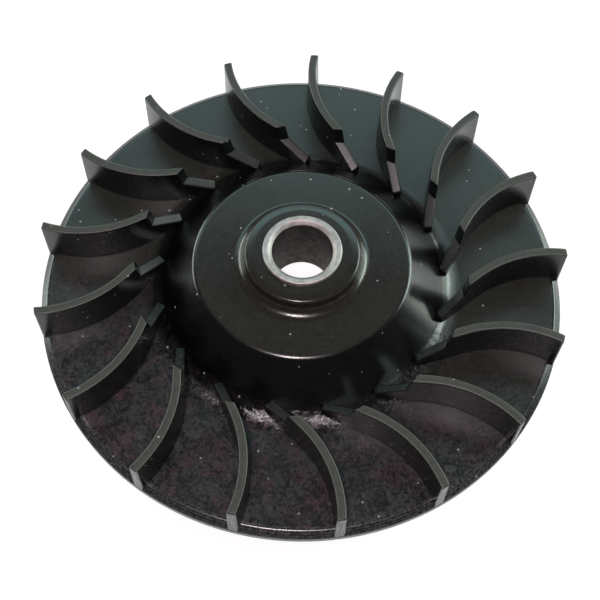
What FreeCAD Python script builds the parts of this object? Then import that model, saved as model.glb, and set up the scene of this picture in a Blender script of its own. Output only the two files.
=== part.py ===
import FreeCAD, Part
import math
import os
import Sketcher

# Cooling fan impeller of a motor, in millimetres. One black moulding carries a flat disc, curved
# blades and a conical hub, and a steel bush in its middle takes the motor's shaft.
# The axis is Z. The underside lies at Z = 0 and the blades stand up from the disc.

SIZES = [
    # Disc, with its rim bevelled above and chamfered below
    ("disc_radius", 45.0),
    ("disc_thickness", 2.5),
    ("bevel_width", 1.2),
    ("bevel_drop", 0.8),
    ("rim_chamfer", 0.4),
    # Blades: in plan an arc from the tip to a bend near the eye, then a straight tail
    ("blade_count", 17),
    ("blade_height", 7.65),
    ("blade_thickness", 1.45),
    ("blade_tip_inset", 0.24),
    ("blade_lean", 9.8),
    ("bend_radius", 29.28),
    ("blade_wrap", 7.52),
    ("blade_draft", 1.0),
    ("blade_edge_break", 0.2),
    # Eye: the step that takes each tail down to a low ridge, which falls on towards the hub
    ("eye_reach", 27.5),
    ("eye_rake", 0.6),
    ("ridge_run", 4.1),
    ("ridge_height", 4.5),
    ("ridge_fall", 28.5),
    # Hub: a cone up to the level of the blades, with a low boss on it round the bush
    ("cone_top_radius", 18.1),
    ("cone_angle", 45.0),
    ("cone_top_round", 1.2),
    ("cone_foot_round", 5.0),
    ("boss_radius", 9.65),
    ("boss_flare", 0.15),
    ("boss_rise", 2.6),
    ("boss_foot_round", 1.9),
    ("boss_edge_chamfer", 0.3),
    ("crown_radius", 8.1),
    ("crown_rise", 0.15),
    # Underside: the hub is cored out to an even wall, with a sleeve round the bush and radial ribs
    ("hub_wall", 2.2),
    ("sleeve_wall", 2.4),
    ("mouth_chamfer", 0.4),
    ("rib_count", 6),
    ("rib_thickness", 1.7),
    ("rib_recess", 0.6),
    # Bush
    ("bush_radius", 6.6),
    ("bore_radius", 5.0),
    ("bore_chamfer", 0.7),
    ("bush_stand", 0.6),
]

# How far the eye's cut stands above the blades, and how near counts as the same place
CUT_MARGIN = 1.0
SAME_PLACE = 1e-4

doc = FreeCAD.newDocument("Impeller")
sheet = doc.addObject("Spreadsheet::Sheet", "Sizes")
for row, (alias, number) in enumerate(SIZES, start=1):
    sheet.set(f"A{row}", alias)
    sheet.set(f"B{row}", str(number))
    sheet.setAlias(f"B{row}", alias)
doc.recompute()

# Levels above the underside
disc_top = "Sizes.disc_thickness"
bevel_foot = f"{disc_top} - Sizes.bevel_drop"
blade_top = f"{disc_top} + Sizes.blade_height"
boss_edge = f"{blade_top} + Sizes.boss_rise"
crown_top = f"{boss_edge} + Sizes.crown_rise"
bush_top = f"{crown_top} + Sizes.bush_stand"
core_roof = f"{blade_top} - Sizes.hub_wall"

# Radii
tip_radius = "Sizes.disc_radius - Sizes.blade_tip_inset"
bend_x = "Sizes.bend_radius * sin(Sizes.blade_wrap)"
bend_y = "Sizes.bend_radius * cos(Sizes.blade_wrap)"
step_foot = "Sizes.eye_reach - Sizes.eye_rake"
tail_end = f"{step_foot} - Sizes.ridge_run"
cone_foot_radius = "Sizes.cone_top_radius + Sizes.blade_height / tan(Sizes.cone_angle)"
core_mouth_radius = (f"{cone_foot_radius} + Sizes.disc_thickness / tan(Sizes.cone_angle)"
                     " - Sizes.hub_wall / sin(Sizes.cone_angle)")
core_roof_radius = f"{core_mouth_radius} - ({core_roof}) / tan(Sizes.cone_angle)"
sleeve_radius = "Sizes.bush_radius + Sizes.sleeve_wall"


def value(expression):
    """Number that an expression over the sheet has now."""
    return float(sheet.evalExpression(expression))


def origin_feature(body, role):
    return next(item for item in body.Origin.OriginFeatures if item.Role == role)


def add_sketch(body, name, plane, level=None):
    sketch = body.newObject("Sketcher::SketchObject", name)
    sketch.AttachmentSupport = [(origin_feature(body, plane), "")]
    sketch.MapMode = "FlatFace"
    if level:
        sketch.setExpression("AttachmentOffset.Base.z", level)
    return sketch


def dimension(sketch, kind, *rest):
    """Adds a dimension whose last argument is an expression over the sheet, and binds it."""
    *points, expression = rest
    number = math.radians(value(expression)) if kind == "Angle" else value(expression)
    index = sketch.addConstraint(Sketcher.Constraint(kind, *points, number))
    sketch.setExpression(f"Constraints[{index}]", expression)


def place(sketch, geometry, point, x, y):
    """Places a point by its distances from the sketch's origin; "0" puts it on the axis."""
    for kind, axis, expression in (("DistanceX", -2, x), ("DistanceY", -1, y)):
        if expression == "0":
            sketch.addConstraint(Sketcher.Constraint("PointOnObject", geometry, point, axis))
        else:
            dimension(sketch, kind, -1, 1, geometry, point, expression)


def draw_outline(sketch, corners):
    """Closed outline of straight sides. A corner is (x, y) or (x, y, round), all expressions."""
    spots = [FreeCAD.Vector(value(corner[0]), value(corner[1]), 0) for corner in corners]
    count = len(corners)
    arrive, leave, arcs = [], [], []
    for i, corner in enumerate(corners):
        back = (spots[i - 1] - spots[i]).normalize()
        ahead = (spots[(i + 1) % count] - spots[i]).normalize()
        if len(corner) == 2:
            arrive.append(spots[i])
            leave.append(spots[i])
            arcs.append(None)
            continue
        radius = value(corner[2])
        half = back.getAngle(ahead) / 2
        arrive.append(spots[i] + back * (radius / math.tan(half)))
        leave.append(spots[i] + ahead * (radius / math.tan(half)))
        centre = spots[i] + (back + ahead).normalize() * (radius / math.sin(half))
        turns_left = back.cross(ahead).z < 0
        first, last = (arrive[i], leave[i]) if turns_left else (leave[i], arrive[i])
        circle = Part.Circle(centre, FreeCAD.Vector(0, 0, 1), radius)
        arcs.append((Part.ArcOfCircle(circle, circle.parameter(first), circle.parameter(last)), turns_left))

    for i in range(count):
        sketch.addGeometry(Part.LineSegment(leave[i], arrive[(i + 1) % count]), False)
    for i, corner in enumerate(corners):
        before = (i - 1) % count
        if arcs[i] is None:
            sketch.addConstraint(Sketcher.Constraint("Coincident", before, 2, i, 1))
            place(sketch, i, 1, corner[0], corner[1])
            continue
        arc, turns_left = arcs[i]
        start, end = (1, 2) if turns_left else (2, 1)
        rounding = sketch.addGeometry(arc, False)
        sketch.addConstraint(Sketcher.Constraint("Tangent", before, 2, rounding, start))
        sketch.addConstraint(Sketcher.Constraint("Tangent", rounding, end, i, 1))
        dimension(sketch, "Radius", rounding, corner[2])
        spot = sketch.addGeometry(Part.Point(spots[i]), True)
        place(sketch, spot, 1, corner[0], corner[1])
        sketch.addConstraint(Sketcher.Constraint("PointOnObject", spot, 1, before))
        sketch.addConstraint(Sketcher.Constraint("PointOnObject", spot, 1, i))


def turn(body, kind, name, corners):
    """Revolution or Groove of an outline (radius, level) right round the axis."""
    sketch = add_sketch(body, name + "Section", "XZ_Plane")
    draw_outline(sketch, corners)
    feature = body.newObject(kind, name)
    feature.Profile = sketch
    feature.ReferenceAxis = (sketch, ["V_Axis"])
    feature.Angle = 360
    doc.recompute()


def repeat_round(body, name, count, feature=None):
    """Repeats one feature round the axis, or else all that the body holds so far."""
    pattern = body.newObject("PartDesign::PolarPattern", name)
    if feature:
        pattern.Originals = [feature]
    else:
        pattern.TransformMode = "Whole shape"
    pattern.Axis = (origin_feature(body, "Z_Axis"), [""])
    pattern.Angle = 360
    pattern.setExpression("Occurrences", count)
    body.Tip = pattern
    doc.recompute()


def on_level(part, level):
    """Whether a face or an edge lies flat at a level."""
    box = part.BoundBox
    return box.ZLength < SAME_PLACE and abs(box.ZMin - value(level)) < SAME_PLACE


def names_where(kind, parts, wanted):
    """Names such as Edge3 of the faces or edges that pass a test."""
    return [f"{kind}{i}" for i, part in enumerate(parts, start=1) if wanted(part)]


def draw_blade(sketch):
    """Plan of one blade's top. Its centre line is an arc that leaves the tip at the lean and wraps
    round the axis to a bend, and a straight tangent tail from there to the hub."""
    tip = FreeCAD.Vector(0, value(tip_radius), 0)
    bend = FreeCAD.Vector(value(bend_x), value(bend_y), 0)
    lean = math.radians(value("Sizes.blade_lean"))
    to_centre = FreeCAD.Vector(math.cos(lean), -math.sin(lean), 0)
    chord = bend - tip
    curve = chord.Length ** 2 / (2 * chord.dot(to_centre))
    centre = tip + to_centre * curve
    out = (bend - centre).normalize()
    ahead = FreeCAD.Vector(-out.y, out.x, 0)
    end = bend + ahead * ((value(tail_end) - bend.y) / ahead.y)
    half = value("Sizes.blade_thickness") / 2
    up = FreeCAD.Vector(0, 0, 1)
    begin = math.pi - lean
    finish = math.atan2(out.y, out.x) + 2 * math.pi

    def arc(middle, radius, first, last):
        return Part.ArcOfCircle(Part.Circle(middle, up, radius), first, last)

    mid_arc = sketch.addGeometry(arc(centre, curve, begin, finish), True)
    mid_line = sketch.addGeometry(Part.LineSegment(bend, end), True)
    lean_line = sketch.addGeometry(Part.LineSegment(tip, centre), True)
    back_arc = sketch.addGeometry(arc(centre, curve + half, begin, finish), False)
    face_arc = sketch.addGeometry(arc(centre, curve - half, begin, finish), False)
    spread = half / tip.y
    tip_arc = sketch.addGeometry(
        arc(FreeCAD.Vector(0, 0, 0), tip.y, math.pi / 2 - spread, math.pi / 2 + spread), False)
    back_line = sketch.addGeometry(Part.LineSegment(bend + out * half, end + out * half), False)
    face_line = sketch.addGeometry(Part.LineSegment(bend - out * half, end - out * half), False)
    end_line = sketch.addGeometry(Part.LineSegment(end + out * half, end - out * half), False)

    for rule in (
        ("PointOnObject", mid_arc, 1, tip_arc),
        ("Coincident", lean_line, 1, mid_arc, 1),
        ("Coincident", lean_line, 2, mid_arc, 3),
        ("Coincident", back_arc, 3, mid_arc, 3),
        ("Coincident", face_arc, 3, mid_arc, 3),
        ("Coincident", tip_arc, 3, -1, 1),
        ("Coincident", tip_arc, 1, face_arc, 1),
        ("Coincident", tip_arc, 2, back_arc, 1),
        ("Tangent", mid_arc, 2, mid_line, 1),
        ("Tangent", back_arc, 2, back_line, 1),
        ("Tangent", face_arc, 2, face_line, 1),
        ("Parallel", mid_line, back_line),
        ("Parallel", mid_line, face_line),
        ("Perpendicular", mid_line, end_line),
        ("Coincident", back_line, 2, end_line, 1),
        ("Coincident", face_line, 2, end_line, 2),
        ("Symmetric", end_line, 1, end_line, 2, mid_line, 2),
    ):
        sketch.addConstraint(Sketcher.Constraint(*rule))
    place(sketch, mid_arc, 1, "0", tip_radius)
    place(sketch, mid_arc, 2, bend_x, bend_y)
    dimension(sketch, "Angle", lean_line, "-Sizes.blade_lean * 1 deg")
    dimension(sketch, "DistanceY", -1, 1, mid_line, 2, tail_end)
    dimension(sketch, "Distance", end_line, "Sizes.blade_thickness")


# The moulding starts with one blade, drawn at its top and grown down into the rim's bevel
impeller = doc.addObject("PartDesign::Body", "impeller")
impeller.AllowCompound = True
blade_plan = add_sketch(impeller, "BladePlan", "XY_Plane", blade_top)
draw_blade(blade_plan)
blade = impeller.newObject("PartDesign::Pad", "Blade")
blade.Profile = blade_plan
blade.Reversed = True
blade.setExpression("Length", "Sizes.blade_height + Sizes.bevel_drop")
doc.recompute()

# The mould's draft widens the blade from its top down
draft = impeller.newObject("PartDesign::Draft", "BladeDraft")
draft.Base = (blade, names_where("Face", blade.Shape.Faces,
                                 lambda face: face.BoundBox.ZLength > SAME_PLACE))
draft.NeutralPlane = (blade, names_where("Face", blade.Shape.Faces,
                                         lambda face: on_level(face, blade_top)))
draft.setExpression("Angle", "Sizes.blade_draft")
doc.recompute()

# The eye: a raked step across the tail, and below it a ridge that falls towards the hub
ridge_start = f"{disc_top} + Sizes.ridge_height"
ridge_end = f"{tail_end} - Sizes.blade_thickness"
eye_side = add_sketch(impeller, "EyeSide", "YZ_Plane")
draw_outline(eye_side, [
    ("Sizes.eye_reach", f"{blade_top} + {CUT_MARGIN}"),
    ("Sizes.eye_reach", blade_top),
    (step_foot, ridge_start),
    (ridge_end, f"{ridge_start} - ({step_foot} - ({ridge_end})) * tan(Sizes.ridge_fall)"),
    (ridge_end, f"{blade_top} + {CUT_MARGIN}"),
])
eye = impeller.newObject("PartDesign::Pocket", "Eye")
eye.Profile = eye_side
eye.SideType = "Symmetric"
eye.Type = "ThroughAll"
doc.recompute()


def along_ridge(edge):
    """Whether an edge bounds the top of the ridge, other than at the foot of the step."""
    first, last = edge.Vertexes[0].Point, edge.Vertexes[-1].Point
    fall = math.tan(math.radians(value("Sizes.ridge_fall")))
    return (abs(first.y - last.y) > SAME_PLACE
            and all(abs(value(ridge_start) - (value(step_foot) - spot.y) * fall - spot.z) < SAME_PLACE
                    for spot in (first, last)))


# A small break runs round the blade's top and the ridge's
edges = impeller.newObject("PartDesign::Chamfer", "BladeEdges")
edges.Base = (eye, names_where("Edge", eye.Shape.Edges,
                               lambda edge: on_level(edge, blade_top) or along_ridge(edge)))
edges.setExpression("Size", "Sizes.blade_edge_break")
doc.recompute()

repeat_round(impeller, "Blades", "Sizes.blade_count")

# Disc and hub in one turn: the rim, bevelled above and chamfered below, the cone with its wide
# foot, the flat shoulder at the blades' level and the crowned boss
turn(impeller, "PartDesign::Revolution", "DiscAndHub", [
    ("Sizes.bush_radius", "0"),
    ("Sizes.disc_radius - Sizes.rim_chamfer", "0"),
    ("Sizes.disc_radius", "Sizes.rim_chamfer"),
    ("Sizes.disc_radius", bevel_foot),
    ("Sizes.disc_radius - Sizes.bevel_width", disc_top),
    (cone_foot_radius, disc_top, "Sizes.cone_foot_round"),
    ("Sizes.cone_top_radius", blade_top, "Sizes.cone_top_round"),
    ("Sizes.boss_radius + Sizes.boss_flare", blade_top, "Sizes.boss_foot_round"),
    ("Sizes.boss_radius", f"{boss_edge} - Sizes.boss_edge_chamfer"),
    ("Sizes.boss_radius - Sizes.boss_edge_chamfer", boss_edge),
    ("Sizes.crown_radius", crown_top),
    ("Sizes.bush_radius", crown_top),
])

# Core: the same wall under the cone and the shoulder, and a sleeve left round the bush
turn(impeller, "PartDesign::Groove", "Core", [
    (sleeve_radius, "0"),
    (f"{core_mouth_radius} + Sizes.mouth_chamfer", "0"),
    (f"{core_mouth_radius} - Sizes.mouth_chamfer / tan(Sizes.cone_angle)", "Sizes.mouth_chamfer"),
    (core_roof_radius, core_roof),
    (sleeve_radius, core_roof),
])

# Radial ribs from the sleeve to the cone, a little short of the underside
rib_side = add_sketch(impeller, "RibSide", "XZ_Plane")
half_wall = "Sizes.hub_wall / 2"
draw_outline(rib_side, [
    ("Sizes.bush_radius + Sizes.sleeve_wall / 2", "Sizes.rib_recess"),
    (f"{core_mouth_radius} + ({half_wall}) / sin(Sizes.cone_angle)"
     " - Sizes.rib_recess / tan(Sizes.cone_angle)", "Sizes.rib_recess"),
    (f"{core_mouth_radius} + ({half_wall}) / sin(Sizes.cone_angle)"
     f" - ({core_roof} + {half_wall}) / tan(Sizes.cone_angle)", f"{core_roof} + {half_wall}"),
    ("Sizes.bush_radius + Sizes.sleeve_wall / 2", f"{core_roof} + {half_wall}"),
])
rib = impeller.newObject("PartDesign::Pad", "Rib")
rib.Profile = rib_side
rib.SideType = "Symmetric"
rib.setExpression("Length", "Sizes.rib_thickness")
doc.recompute()
repeat_round(impeller, "Ribs", "Sizes.rib_count", rib)

# The bush: turned steel, chamfered at both ends of the bore, level with the underside
bush = doc.addObject("PartDesign::Body", "bush")
bush.Label = "bush"
turn(bush, "PartDesign::Revolution", "Turned", [
    ("Sizes.bore_radius + Sizes.bore_chamfer", "0"),
    ("Sizes.bush_radius", "0"),
    ("Sizes.bush_radius", bush_top),
    ("Sizes.bore_radius + Sizes.bore_chamfer", bush_top),
    ("Sizes.bore_radius", f"{bush_top} - Sizes.bore_chamfer"),
    ("Sizes.bore_radius", "Sizes.bore_chamfer"),
])

# Every object must have come out whole before anything is written
doc.recompute()
for item in doc.Objects:
    if "Invalid" in item.State or "Error" in item.State:
        raise RuntimeError(f"{item.Name} failed: {item.State}")
before = None
for item in impeller.Group:
    if item.isDerivedFrom("PartDesign::Feature"):
        print(f"{item.Name}: {item.Shape.Volume:.1f} mm3")
        if item.TypeId in ("PartDesign::Groove", "PartDesign::Pocket") and item.Shape.Volume >= before:
            raise RuntimeError(f"{item.Name} cut nothing")
        before = item.Shape.Volume

os.makedirs("parts", exist_ok=True)
for body in (impeller, bush):
    shape = body.Shape
    if shape.isNull() or not shape.isValid() or len(shape.Solids) != 1:
        raise RuntimeError(f"{body.Label} is not one sound solid")
    shape.exportStep(f"parts/{body.Label}.step")
    print(f"{body.Label}: {shape.Volume:.1f} mm3, box {shape.BoundBox}")
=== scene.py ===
import math

import bmesh
import bpy
from mathutils import Matrix, Vector


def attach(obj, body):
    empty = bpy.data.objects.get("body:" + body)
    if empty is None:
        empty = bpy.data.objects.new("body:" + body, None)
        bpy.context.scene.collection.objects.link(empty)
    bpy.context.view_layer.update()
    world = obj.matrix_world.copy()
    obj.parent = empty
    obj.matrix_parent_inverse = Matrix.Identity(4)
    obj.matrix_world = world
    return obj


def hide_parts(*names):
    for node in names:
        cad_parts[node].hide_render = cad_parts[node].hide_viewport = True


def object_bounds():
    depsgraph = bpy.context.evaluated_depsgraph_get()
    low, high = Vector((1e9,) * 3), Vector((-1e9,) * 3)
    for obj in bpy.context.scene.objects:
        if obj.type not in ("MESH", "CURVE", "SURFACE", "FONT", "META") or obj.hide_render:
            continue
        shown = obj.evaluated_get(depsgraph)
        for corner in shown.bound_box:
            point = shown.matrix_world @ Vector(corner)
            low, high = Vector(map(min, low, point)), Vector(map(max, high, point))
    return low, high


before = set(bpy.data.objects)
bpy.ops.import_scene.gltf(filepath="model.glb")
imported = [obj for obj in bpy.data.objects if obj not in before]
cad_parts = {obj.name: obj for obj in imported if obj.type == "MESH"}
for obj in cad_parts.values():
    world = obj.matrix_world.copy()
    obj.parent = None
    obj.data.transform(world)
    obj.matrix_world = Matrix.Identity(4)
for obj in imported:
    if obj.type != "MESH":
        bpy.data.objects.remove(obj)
cad_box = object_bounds()

# Camera
# It stands close in front of the part, a little to the right of its axis, and looks down on it at
# about 62 degrees. It has a slight roll, as the photographer held it.
camera_data = bpy.data.cameras.new("camera")
camera_data.lens, camera_data.sensor_width = 60.93, 36.0
camera_data.clip_start, camera_data.clip_end = 0.01, 20.0
camera = bpy.data.objects.new("camera", camera_data)
bpy.context.collection.objects.link(camera)
stand = Vector((0.002715, -0.086198, 0.15678))
turn, lean, roll = math.radians(1.937), math.radians(28.17), math.radians(1.334)
camera.matrix_world = (
    Matrix.Translation(stand)
    @ Matrix.Rotation(turn, 4, "Z")
    @ Matrix.Rotation(lean, 4, "X")
    @ Matrix.Rotation(roll, 4, "Z")
)
bpy.context.scene.camera = camera
bpy.context.scene.view_settings.view_transform = "Standard"

# Floor
# A plain white table top just under the part. It shows pure white to the camera and in reflections,
# and keeps the soft shadow under the rim.
FLOOR_RADIUS = 4.0
FLOOR_LEVEL = -0.0002
FLOOR_GLOW = 0.75
floor_mesh = bpy.data.meshes.new("floor")
build = bmesh.new()
bmesh.ops.create_circle(build, cap_ends=True, segments=96, radius=FLOOR_RADIUS)
bmesh.ops.translate(build, verts=build.verts, vec=(0, 0, FLOOR_LEVEL))
build.to_mesh(floor_mesh)
build.free()
floor = bpy.data.objects.new("floor", floor_mesh)
bpy.context.collection.objects.link(floor)


class Signal:
    """A shader socket in arithmetic: 1 - mask or mask * 0.5 adds the Math nodes it needs."""

    def __init__(self, tree, socket=None):
        self.tree, self.socket = tree, socket

    def add(self, kind, settings, sockets, output=0):
        """A node of one kind: its settings first, then its sockets' values or links."""
        node = self.tree.nodes.new(kind)
        for name, setting in settings.items():
            setattr(node, name, setting)
        for name, given in sockets.items():
            if isinstance(given, Signal):
                self.tree.links.new(given.socket, node.inputs[name])
            else:
                node.inputs[name].default_value = given
        return Signal(self.tree, node.outputs[output])

    def feed(self, given, shader, name):
        self.tree.links.new(given.socket, shader.inputs[name])

    def math(self, operation, second=0.0):
        return self.add("ShaderNodeMath", {"operation": operation}, {0: self, 1: second})

    def __add__(self, other):
        return self.math("ADD", other)

    def __sub__(self, other):
        return self.math("SUBTRACT", other)

    def __rsub__(self, other):
        return self.math("MULTIPLY", -1.0) + other

    def __mul__(self, other):
        return self.math("MULTIPLY", other)

    def between(self, low, high):
        """0 below low, 1 above high and a soft step between them."""
        return self.add("ShaderNodeMapRange", {"interpolation_type": "SMOOTHSTEP"},
                        {"Value": self, "From Min": low, "From Max": high})

    def noise(self, place, scale, detail=2.0, roughness=0.5, distortion=0.0):
        return self.add("ShaderNodeTexNoise", {}, {
            "Vector": place, "Scale": scale, "Detail": detail, "Roughness": roughness,
            "Distortion": distortion})

    def bands(self, scale, detail, roughness=0.5):
        """Noise along this signal alone."""
        return self.add("ShaderNodeTexNoise", {"noise_dimensions": "1D"},
                        {"W": self, "Scale": scale, "Detail": detail, "Roughness": roughness})

    def blend(self, first, second):
        """Colour that goes from the first to the second as this signal goes from 0 to 1."""
        first, second = (tone if isinstance(tone, Signal) else (*tone, 1) for tone in (first, second))
        return self.add("ShaderNodeMix", {"data_type": "RGBA"}, {"Factor": self, 6: first, 7: second}, 2)


def new_finish(name):
    """Empty material, with its shader and a Signal to build its pattern from."""
    material = bpy.data.materials.new(name)
    material.use_nodes = True
    tree = material.node_tree
    return material, tree.nodes["Principled BSDF"], Signal(tree)


white, white_shader, paint = new_finish("white_table")
seen = paint.add("ShaderNodeLightPath", {}, {}, "Is Camera Ray")
for ray in ("Is Glossy Ray", "Is Transmission Ray"):
    seen = seen.math("MAXIMUM", paint.add("ShaderNodeLightPath", {}, {}, ray))
white_shader.inputs["Base Color"].default_value = (0.30, 0.30, 0.30, 1)
white_shader.inputs["Roughness"].default_value = 0.9
white_shader.inputs["Specular IOR Level"].default_value = 0.0
white_shader.inputs["Emission Color"].default_value = (1, 1, 1, 1)
paint.feed(seen * FLOOR_GLOW, white_shader, "Emission Strength")
floor_mesh.materials.append(white)

# Light
# A dim room with five soft lamps. The disc mirrors the one behind the part, and the cone's flanks
# and the blades' ends those at the sides. A small warm one in front lights the rounded edges.
world = bpy.data.worlds.new("room")
world.use_nodes = True
world.node_tree.nodes["Background"].inputs["Color"].default_value = (0.080, 0.086, 0.096, 1)
bpy.context.scene.world = world
LAMP_DISTANCE = 1.2


def hang_lamp(name, azimuth, elevation, width, height, power, colour):
    """Rectangular softbox that faces the part. Azimuth 0 is in front and 90 at the right."""
    lamp = bpy.data.lights.new(name, "AREA")
    lamp.shape, lamp.size, lamp.size_y = "RECTANGLE", width, height
    lamp.energy, lamp.color = power, colour
    turn, tilt = math.radians(azimuth), math.radians(elevation)
    away = Vector((math.sin(turn) * math.cos(tilt), -math.cos(turn) * math.cos(tilt), math.sin(tilt)))
    hung = bpy.data.objects.new(name, lamp)
    hung.matrix_world = (Matrix.Translation(away * LAMP_DISTANCE)
                         @ away.to_track_quat("Z", "Y").to_matrix().to_4x4())
    hung.visible_camera = False
    bpy.context.collection.objects.link(hung)


hang_lamp("back_softbox", 180, 46, 1.8, 0.30, 5.0, (0.62, 0.98, 1.0))
hang_lamp("right_softbox", 116, 24, 0.7, 0.38, 10.5, (0.84, 1.0, 0.93))
hang_lamp("low_softbox", 118, 2.6, 0.9, 0.10, 2.6, (0.90, 1.0, 0.90))
hang_lamp("left_softbox", 240, 15, 0.8, 0.36, 7.0, (0.90, 1.0, 0.92))
hang_lamp("front_lamp", -8, 66, 0.20, 0.22, 11.0, (1.0, 0.88, 0.91))

# Impeller
# One black moulding of glass-filled nylon: a flat disc, seventeen curved blades, and a conical hub
# with a low boss, all in one shot. Its underside is cored out, with six ribs round a sleeve.
MM = 0.001
CLOSE = 0.001 * MM
SMOOTH_ANGLE = math.radians(30)

# Radii, in millimetres
DISC_RADIUS = cad_box[1][0] / MM
FACE_RADIUS = 43.8
CONE_FOOT_RADIUS = 25.75
BOSS_FOOT_RADIUS = 9.8
BOSS_EDGE_RADIUS = 9.62
CROWN_RADIUS = 8.1
SLEEVE_RADIUS = 9.0
BUSH_RADIUS = 6.6

# Levels above the underside
UNDER_BEVEL = 0.4
RIM_FOOT = 1.7
DISC_TOP = 2.5
CORE_ROOF = 7.95
BLADE_TOP = 10.15
BOSS_EDGE_LEVEL = 12.75
CROWN_LEVEL = 12.9

# The cone falls at 45 degrees, so the radius and the level have one sum all along each side of its
# wall, outside and in the core
CONE_WALL = 2.2
cone_sum = CONE_FOOT_RADIUS + DISC_TOP
core_sum = cone_sum - CONE_WALL * math.sqrt(2)
shoulder_radius = cone_sum - BLADE_TOP


def turn_profile(profile, steps):
    """Closed outline spun round the axis: corners of radius, level, rounding and its segments."""
    ring = bmesh.new()
    verts = [ring.verts.new((radius * MM, 0, level * MM)) for radius, level, *_ in profile]
    edges = [ring.edges.new((verts[i - 1], verts[i])) for i in range(len(verts))]
    bmesh.ops.spin(ring, geom=verts + edges, cent=(0, 0, 0), axis=(0, 0, 1), dvec=(0, 0, 0),
                   angle=math.tau, steps=steps, use_merge=True)
    bmesh.ops.remove_doubles(ring, verts=ring.verts, dist=CLOSE)
    bmesh.ops.recalc_face_normals(ring, faces=ring.faces)
    for radius, level, rounding, segments in profile:
        if rounding:
            round_ring(ring, radius, level, rounding, segments)
    return ring


def round_ring(ring, radius, level, rounding, segments):
    """Rounds the corner that runs round the axis at a radius and a level."""
    edges = [edge for edge in ring.edges if all(
        abs(vert.co.xy.length - radius * MM) < CLOSE and abs(vert.co.z - level * MM) < CLOSE
        for vert in edge.verts)]
    reach = rounding * MM * math.tan(edges[0].calc_face_angle() / 2)
    bmesh.ops.bevel(ring, geom=edges, offset=reach, offset_type="OFFSET", segments=segments,
                    profile=0.5, affect="EDGES", material=-1)


def finish_piece(name, build, material, node):
    """Makes the object from a bmesh, shades it and hands it to the frame in the node's place."""
    mesh = bpy.data.meshes.new(name)
    build.to_mesh(mesh)
    build.free()
    mesh.materials.append(material)
    mesh.shade_smooth()
    mesh.set_sharp_from_angle(angle=SMOOTH_ANGLE)
    piece = bpy.data.objects.new(name, mesh)
    bpy.context.collection.objects.link(piece)
    flatten = piece.modifiers.new("flat_faces", "WEIGHTED_NORMAL")
    flatten.keep_sharp = True
    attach(piece, "root")
    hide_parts(node)


moulding = turn_profile([
    (BUSH_RADIUS, 0, 0, 0),
    (SLEEVE_RADIUS, 0, 0.25, 3),
    (SLEEVE_RADIUS, CORE_ROOF, 0.5, 3),
    (core_sum - CORE_ROOF, CORE_ROOF, 0.8, 4),
    (core_sum - UNDER_BEVEL, UNDER_BEVEL, 0, 0),
    (core_sum + UNDER_BEVEL, 0, 0, 0),
    (DISC_RADIUS - UNDER_BEVEL, 0, 0.3, 3),
    (DISC_RADIUS, UNDER_BEVEL, 0.3, 3),
    (DISC_RADIUS, RIM_FOOT, 0.35, 3),
    (FACE_RADIUS, DISC_TOP, 0.6, 4),
    (CONE_FOOT_RADIUS, DISC_TOP, 5.0, 8),
    (shoulder_radius, BLADE_TOP, 1.2, 6),
    (BOSS_FOOT_RADIUS, BLADE_TOP, 1.9, 8),
    (BOSS_EDGE_RADIUS, BOSS_EDGE_LEVEL, 0.5, 5),
    (CROWN_RADIUS, CROWN_LEVEL, 1.2, 3),
    (BUSH_RADIUS, CROWN_LEVEL, 0, 0),
], 160)

# One blade: its section is spun about a centre of its own, its tail drawn straight from there.
# Its foot reaches down to the rim's, so that no gap shows over the bevel
BLADES = 17
TOP_HALF = 0.725
DRAFT = math.tan(math.radians(1.0))
TAIL_LENGTH = 7.82
WEAR = 0.26
blade_centre = Vector((20.016, 41.303, 0))
blade_curve = 20.313
start, bend = math.radians(165.3), math.radians(217.18)
foot_half = TOP_HALF + (BLADE_TOP - RIM_FOOT) * DRAFT
start_side = Vector((math.cos(start), math.sin(start), 0))
bend_side = Vector((math.cos(bend), math.sin(bend), 0))
tail_run = Vector((-math.sin(bend), math.cos(bend), 0))
section_corners = (
    (foot_half, RIM_FOOT), (TOP_HALF, BLADE_TOP), (-TOP_HALF, BLADE_TOP), (-foot_half, RIM_FOOT))
blade = bmesh.new()
section = blade.faces.new([
    blade.verts.new((blade_centre + start_side * (blade_curve + across) + Vector((0, 0, level))) * MM)
    for across, level in section_corners])
last = bmesh.ops.spin(blade, geom=[section, *section.edges, *section.verts], cent=blade_centre * MM,
                      axis=(0, 0, 1), dvec=(0, 0, 0), angle=bend - start, steps=26)["geom_last"]
section = next(item for item in last if isinstance(item, bmesh.types.BMFace))


def draw_out(build, face, run):
    """Extrudes a face by a run in millimetres."""
    grown = bmesh.ops.extrude_face_region(build, geom=[face])["geom"]
    bmesh.ops.translate(build, verts=[item for item in grown if isinstance(item, bmesh.types.BMVert)],
                        vec=Vector(run) * MM)


draw_out(blade, section, tail_run * TAIL_LENGTH)
bmesh.ops.delete(blade, geom=[section], context="FACES_ONLY")
bmesh.ops.recalc_face_normals(blade, faces=blade.faces)


class Plane:
    """Cutting plane through a point in millimetres, with the normal on the side that goes."""

    def __init__(self, point, normal):
        self.point, self.normal = Vector(point) * MM, Vector(normal).normalized()

    def height(self, spot):
        return (spot - self.point).dot(self.normal)

    def takes(self, face):
        return self.height(face.calc_center_median()) > CLOSE

    def holds(self, edge):
        return all(abs(self.height(vert.co)) < CLOSE for vert in edge.verts)

    def split(self, build, faces):
        parts = dict.fromkeys(item for face in faces for item in (face, *face.edges, *face.verts))
        bmesh.ops.bisect_plane(build, geom=list(parts), dist=CLOSE / 100, plane_co=self.point,
                               plane_no=self.normal)


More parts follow.
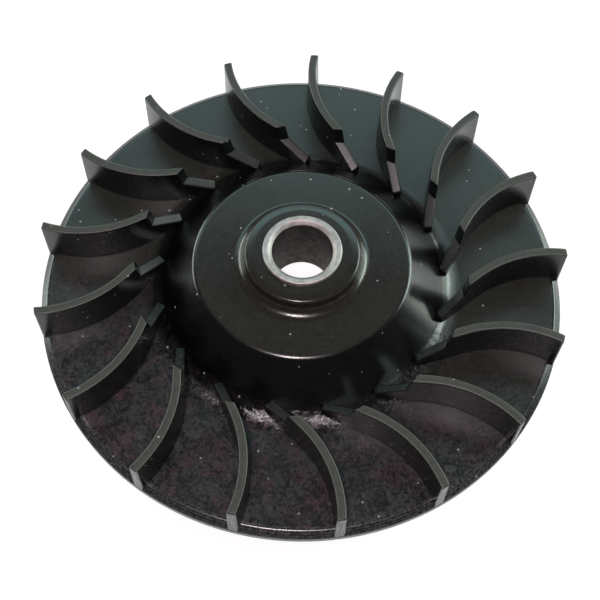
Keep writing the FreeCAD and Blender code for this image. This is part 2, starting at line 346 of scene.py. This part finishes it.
# The tip is cut off just inside the disc's edge. At the eye a raked step goes down to a ridge,
# which falls on towards the hub
TIP = 44.76
RIDGE_FALL = math.radians(28.5)
step_head = Vector((0, 27.5, BLADE_TOP))
step_foot = Vector((0, 26.9, 7.0))
step = step_head - step_foot
tip_cut = Plane((0, TIP, BLADE_TOP), (0, 1, DRAFT))
step_cut = Plane(step_head, (0, -step.z, step.y))
ridge_cut = Plane(step_foot, (0, -math.sin(RIDGE_FALL), math.cos(RIDGE_FALL)))
tip_cut.split(blade, blade.faces)
step_cut.split(blade, blade.faces)
ridge_cut.split(blade, [face for face in blade.faces if step_cut.takes(face)])
gone = [face for face in blade.faces
        if tip_cut.takes(face) or (step_cut.takes(face) and ridge_cut.takes(face))]
bmesh.ops.delete(blade, geom=gone, context="FACES")

# The three cuts are closed again, the step and the ridge with the crease between them
rims = [edge for edge in blade.edges if edge.is_boundary]
tip_rim = [edge for edge in rims if tip_cut.holds(edge)]
step_rim = [edge for edge in rims if step_cut.holds(edge)]
ridge_rim = [edge for edge in rims if ridge_cut.holds(edge) and edge not in step_rim]
crease = bmesh.ops.contextual_create(blade, geom=[
    vert for vert in blade.verts if any(vert in edge.verts for edge in step_rim)
    and any(vert in edge.verts for edge in ridge_rim)])["edges"]
for rim in (tip_rim, step_rim + crease, ridge_rim + crease):
    bmesh.ops.contextual_create(blade, geom=rim)
bmesh.ops.recalc_face_normals(blade, faces=blade.faces)


def is_worn(edge):
    """Whether it is an outer edge above the disc, or one of the tip's, which start lower."""
    above = [vert.co.z > (RIM_FOOT + 0.1) * MM for vert in edge.verts]
    return (edge.is_convex and edge.calc_face_angle() > SMOOTH_ANGLE
            and (all(above) or (any(above) and tip_cut.holds(edge))))


bmesh.ops.bevel(blade, geom=[edge for edge in blade.edges if is_worn(edge)], offset=WEAR * MM,
                offset_type="OFFSET", segments=3, profile=0.5, affect="EDGES", material=-1,
                clamp_overlap=True)


def add_all_round(moulding, build, count):
    """Joins copies of a blade or a rib to the moulding at equal angles round the axis."""
    pattern = bpy.data.meshes.new("pattern")
    for _ in range(count):
        build.to_mesh(pattern)
        moulding.from_mesh(pattern)
        bmesh.ops.rotate(build, verts=build.verts, cent=(0, 0, 0),
                         matrix=Matrix.Rotation(math.tau / count, 3, "Z"))
    bpy.data.meshes.remove(pattern)
    build.free()


add_all_round(moulding, blade, BLADES)

# One rib under the cone, a little short of the underside. It ends inside the sleeve, the roof and
# the cone's wall, half way through each
RIBS = 6
RIB_WIDTH = 1.7
RIB_FOOT = 0.6
RIB_ROUNDING = 0.3
rib_start = (BUSH_RADIUS + SLEEVE_RADIUS) / 2
rib_top = (CORE_ROOF + BLADE_TOP) / 2
wall_sum = (cone_sum + core_sum) / 2
rib_corners = (
    (rib_start, RIB_FOOT), (wall_sum - RIB_FOOT, RIB_FOOT), (wall_sum - rib_top, rib_top),
    (rib_start, rib_top))
rib = bmesh.new()
side = rib.faces.new([
    rib.verts.new(Vector((radius, -RIB_WIDTH / 2, level)) * MM) for radius, level in rib_corners])
draw_out(rib, side, (0, RIB_WIDTH, 0))
bmesh.ops.recalc_face_normals(rib, faces=rib.faces)
lower = [
    edge for edge in rib.edges if all(abs(vert.co.z - RIB_FOOT * MM) < CLOSE for vert in edge.verts)
    and abs(edge.verts[0].co.x - edge.verts[1].co.x) > CLOSE]
bmesh.ops.bevel(rib, geom=lower, offset=RIB_ROUNDING * MM, offset_type="OFFSET", segments=3,
                profile=0.5, affect="EDGES", material=-1)
add_all_round(moulding, rib, RIBS)


def object_place(paint):
    """Object coordinates, then x, y, level and distance from the axis in millimetres."""
    place = paint.add("ShaderNodeTexCoord", {}, {}, "Object")
    x, y, level = (paint.add("ShaderNodeSeparateXYZ", {}, {"Vector": place}, axis) * (1 / MM)
                   for axis in "XYZ")
    return place, x, y, level, (x * x + y * y).math("SQRT")


# Black nylon
# The moulding's skin: even and faintly clouded at the back, blotchy at the front with painted glints
# where its grain catches the light. Its rim shows scoring and a painted sheen, the blades' tops and
# ridges are worn along their length, with painted highlights along the tops' edges and a painted shadow
# line under the tips' top edges, and their tip faces are light grey with upright streaks.
nylon, nylon_shader, grain = new_finish("black_nylon")
place, x, y, level, radius = object_place(grain)

# Every spot is turned into the first blade's sector, which follows the tail at small radii, to
# tell how far it lies across the blade's curve and across its straight tail
SECTOR = math.tau / BLADES
SECTOR_START = math.radians(74.8)
TAIL_RADIUS = 29.0
TAIL_TURN = 0.056
low_side = (TAIL_RADIUS - radius).math("MAXIMUM") * -TAIL_TURN + SECTOR_START
angle = (y.math("ARCTAN2", x) - low_side).math("FLOORED_MODULO", SECTOR) + low_side
spot = grain.add("ShaderNodeCombineXYZ", {},
                 {"X": angle.math("COSINE") * radius, "Y": angle.math("SINE") * radius})
across = grain.add("ShaderNodeVectorMath", {"operation": "DISTANCE"},
                   {0: spot, 1: blade_centre}, "Value") - blade_curve
across_tail = grain.add("ShaderNodeVectorMath", {"operation": "DOT_PRODUCT"},
                        {0: spot, 1: bend_side}, "Value") - (blade_centre.dot(bend_side) + blade_curve)

fine = grain.noise(place, 2100.0, 3.0, 0.6)
grit = grain.noise(place, 5200.0)
swirl = grain.noise(place, 520.0, 5.0, 0.6, 1.2)
cloud = grain.noise(place, 120.0, 4.0, 0.55)
tint = grain.noise(place, 260.0, 3.0)
lines = across.bands(7.0, 2.0)
streaks = (radius - level).bands(5.2, 3.0)
upright = grain.add("ShaderNodeMapping", {"vector_type": "POINT"},
                    {"Vector": place, "Scale": (1, 1, 0.08)})
scratches = grain.noise(upright, 3600.0, 3.0, 0.6)

# Zones of the skin, each 1 in its own part of the moulding and 0 outside it
hub = 1 - radius.between(CONE_FOOT_RADIUS - 2.25, CONE_FOOT_RADIUS + 0.75)
shoulder = (level.between(BLADE_TOP - 0.10, BLADE_TOP - 0.03)
            * (1 - radius.between(shoulder_radius + 0.9, shoulder_radius + 1.9)))
at_top = level.between(BLADE_TOP - 0.15, BLADE_TOP - 0.05)
sides = level.between(DISC_TOP + 0.2, DISC_TOP + 0.7) * (1 - at_top) * (1 - hub)
top = at_top * radius.between(step_foot.y - 0.7, step_foot.y - 0.3)
above_disc = level.between(DISC_TOP + 0.1, DISC_TOP + 0.3)
tip = radius.between(TIP - 0.20, TIP - 0.15) * above_disc
# A painted shadow line on the rounding just under each tip's top edge.
under_tip_painted_shade = (tip * level.between(BLADE_TOP - 0.35, BLADE_TOP - 0.25)
             * (1 - level.between(BLADE_TOP - 0.03, BLADE_TOP)))
rim = radius.between(FACE_RADIUS - 0.5, FACE_RADIUS - 0.2) * (1 - above_disc)
foot = (radius.between(CONE_FOOT_RADIUS - 1.75, CONE_FOOT_RADIUS - 0.75)
        * (1 - radius.between(CONE_FOOT_RADIUS + 1.75, CONE_FOOT_RADIUS + 3.25))
        * (1 - level.between(DISC_TOP + 1.5, DISC_TOP + 2.5)) * (1 - y.between(-14.0, -4.0)))
# Painted highlights along both edges of each blade's top, on and just inside the rounding.
top_edge_highlights = top * across.math("ABSOLUTE").between(TOP_HALF - 0.325, TOP_HALF - 0.145) * (1 - tip)
ridge = ((1 - across_tail.math("ABSOLUTE").between(TOP_HALF + 0.015, TOP_HALF + 0.075))
         * (1 - radius.between(step_head.y + 0.2, step_head.y + 0.4))
         * level.between(DISC_TOP + 1.7, DISC_TOP + 1.9)
         * (1 - level.between(step_foot.z + 0.1, step_foot.z + 0.2))
         * (radius + level).between(cone_sum + 0.25, cone_sum + 0.75))
# Towards the front the skin is blotchy with painted glints over its real grain; towards the back it is
# even.
front_painted_glints = 1 - (y + x * 0.25 + (cloud - 0.5) * 20).between(-30.0, 0.0)

patches = cloud.between(0.42, 0.58) * 0.5 + swirl.between(0.40, 0.60) * 0.5
mottle = (fine * 0.35 + swirl * 0.45 + grit * 0.20).between(0.40, 0.62)
# The rim's light streaks are partly real scoring and partly a painted sheen that stands in for the
# table's reflection, strongest at the front.
scores_and_painted_sheen = (streaks * 0.6 + fine * 0.4).between(0.40, 0.60) * (front_painted_glints * 0.8 + 0.2)
grazed = (fine * 0.5 + scratches * 0.5).between(0.40, 0.60)
worn = lines.between(0.3, 0.7) * 0.6 + fine.between(0.3, 0.7) * 0.4
upright_streaks = scratches.between(0.38, 0.62)
flecks = grain.add("ShaderNodeTexVoronoi", {}, {"Vector": place, "Scale": 330.0})
dust = 1 - (flecks + fine * 0.08).between(0.085, 0.115)

# The light end of the front's blotches is a painted glint tone, its warmth varying at random.
painted_glint_tone = tint.between(0.44, 0.60).blend((0.0430, 0.0435, 0.0425), (0.0560, 0.0340, 0.0410))
even = mottle.blend((0.0140, 0.0145, 0.0120), (0.0205, 0.0210, 0.0170))
colour = front_painted_glints.blend(even, mottle.blend((0.0030, 0.0028, 0.0030), painted_glint_tone))
for zone, pattern, dark, light in (
    (sides, mottle, (0.0020, 0.0022, 0.0026), (0.0048, 0.0048, 0.0050)),
    (rim, scores_and_painted_sheen, (0.0040, 0.0040, 0.0045), (0.0600, 0.0610, 0.0600)),
    (hub, mottle, (0.0006, 0.0005, 0.0005), (0.0022, 0.0020, 0.0019)),
    (shoulder, mottle, (0.0120, 0.0100, 0.0074), (0.0172, 0.0146, 0.0112)),
    (ridge, grazed, (0.001, 0.001, 0.001), (0.015, 0.013, 0.012)),
    (top, worn, (0.012, 0.011, 0.008), (0.046, 0.042, 0.032)),
    (tip, upright_streaks, (0.050, 0.055, 0.058), (0.210, 0.220, 0.230)),
):
    colour = zone.blend(colour, pattern.blend(dark, light))
# Over all this go the painted highlights along the tops' edges, the painted shadow under the tips' top
# edges and light flecks of dust.
for zone, tone in (
    (top_edge_highlights * 0.6, (0.085, 0.085, 0.072)),
    (under_tip_painted_shade, (0.004, 0.004, 0.004)),
    (dust * 0.6, (0.40, 0.38, 0.37)),
):
    colour = zone.blend(colour, tone)
grain.feed(colour, nylon_shader, "Base Color")

rough = (fine * 0.12 + cloud * 0.10 + 0.23 - hub * 0.11 - sides * 0.08 - rim * 0.10 - foot * 0.14
         + ridge * 0.20 + (top + tip) * 0.14)
grain.feed(rough, nylon_shader, "Roughness")
calm = 1 - (hub * 0.75).math("MAXIMUM", sides).math("MAXIMUM", rim * 0.85)
height = (fine * 0.20 + grit * 0.22 + (swirl + cloud) * 0.10) * calm + foot * patches * fine * 0.9
relief = grain.add("ShaderNodeBump", {}, {"Height": height, "Strength": 1.0, "Distance": 0.1 * MM})
grain.feed(relief, nylon_shader, "Normal")
finish_piece("fan_moulding", moulding, nylon, "impeller")

# Bush
# A plain steel bush, turned and bored, chamfered at both ends. It is moulded into the hub and
# stands 0.6 mm out of the boss.
BORE_RADIUS = 5.0
BORE_CHAMFER = 0.7
BUSH_TOP = cad_box[1][2] / MM
bush = turn_profile([
    (BORE_RADIUS + BORE_CHAMFER, 0, 0, 0),
    (BUSH_RADIUS, 0, 0, 0),
    (BUSH_RADIUS, BUSH_TOP, 0.2, 3),
    (BORE_RADIUS + BORE_CHAMFER, BUSH_TOP, 0.3, 2),
    (BORE_RADIUS, BUSH_TOP - BORE_CHAMFER, 0.1, 2),
    (BORE_RADIUS, BORE_CHAMFER, 0, 0),
], 128)
steel, steel_shader, lathe = new_finish("turned_steel")
place, *_, radius = object_place(lathe)
rings = radius.bands(9.0, 4.0, 0.7)
smear = lathe.noise(place, 900.0, 5.0)
# The hole's wall is painted near black, a painted shadow inside the hole.
bore_painted_shade = smear.between(0.3, 0.7).blend((0.020, 0.016, 0.015), (0.075, 0.062, 0.058))
face = (rings * 0.5 + smear * 0.5).between(0.3, 0.7).blend((0.33, 0.295, 0.285), (0.57, 0.525, 0.51))
skin = radius.between(BORE_RADIUS + 0.03, BORE_RADIUS + 0.12).blend(bore_painted_shade, face)
lathe.feed(skin, steel_shader, "Base Color")
lathe.feed(smear * 0.2 + rings * 0.15 + 0.42, steel_shader, "Roughness")
steel_shader.inputs["Metallic"].default_value = 1.0
relief = lathe.add("ShaderNodeBump", {},
                   {"Height": rings + smear * 0.3, "Strength": 0.4, "Distance": 0.02 * MM})
lathe.feed(relief, steel_shader, "Normal")
finish_piece("steel_bush", bush, steel, "bush")
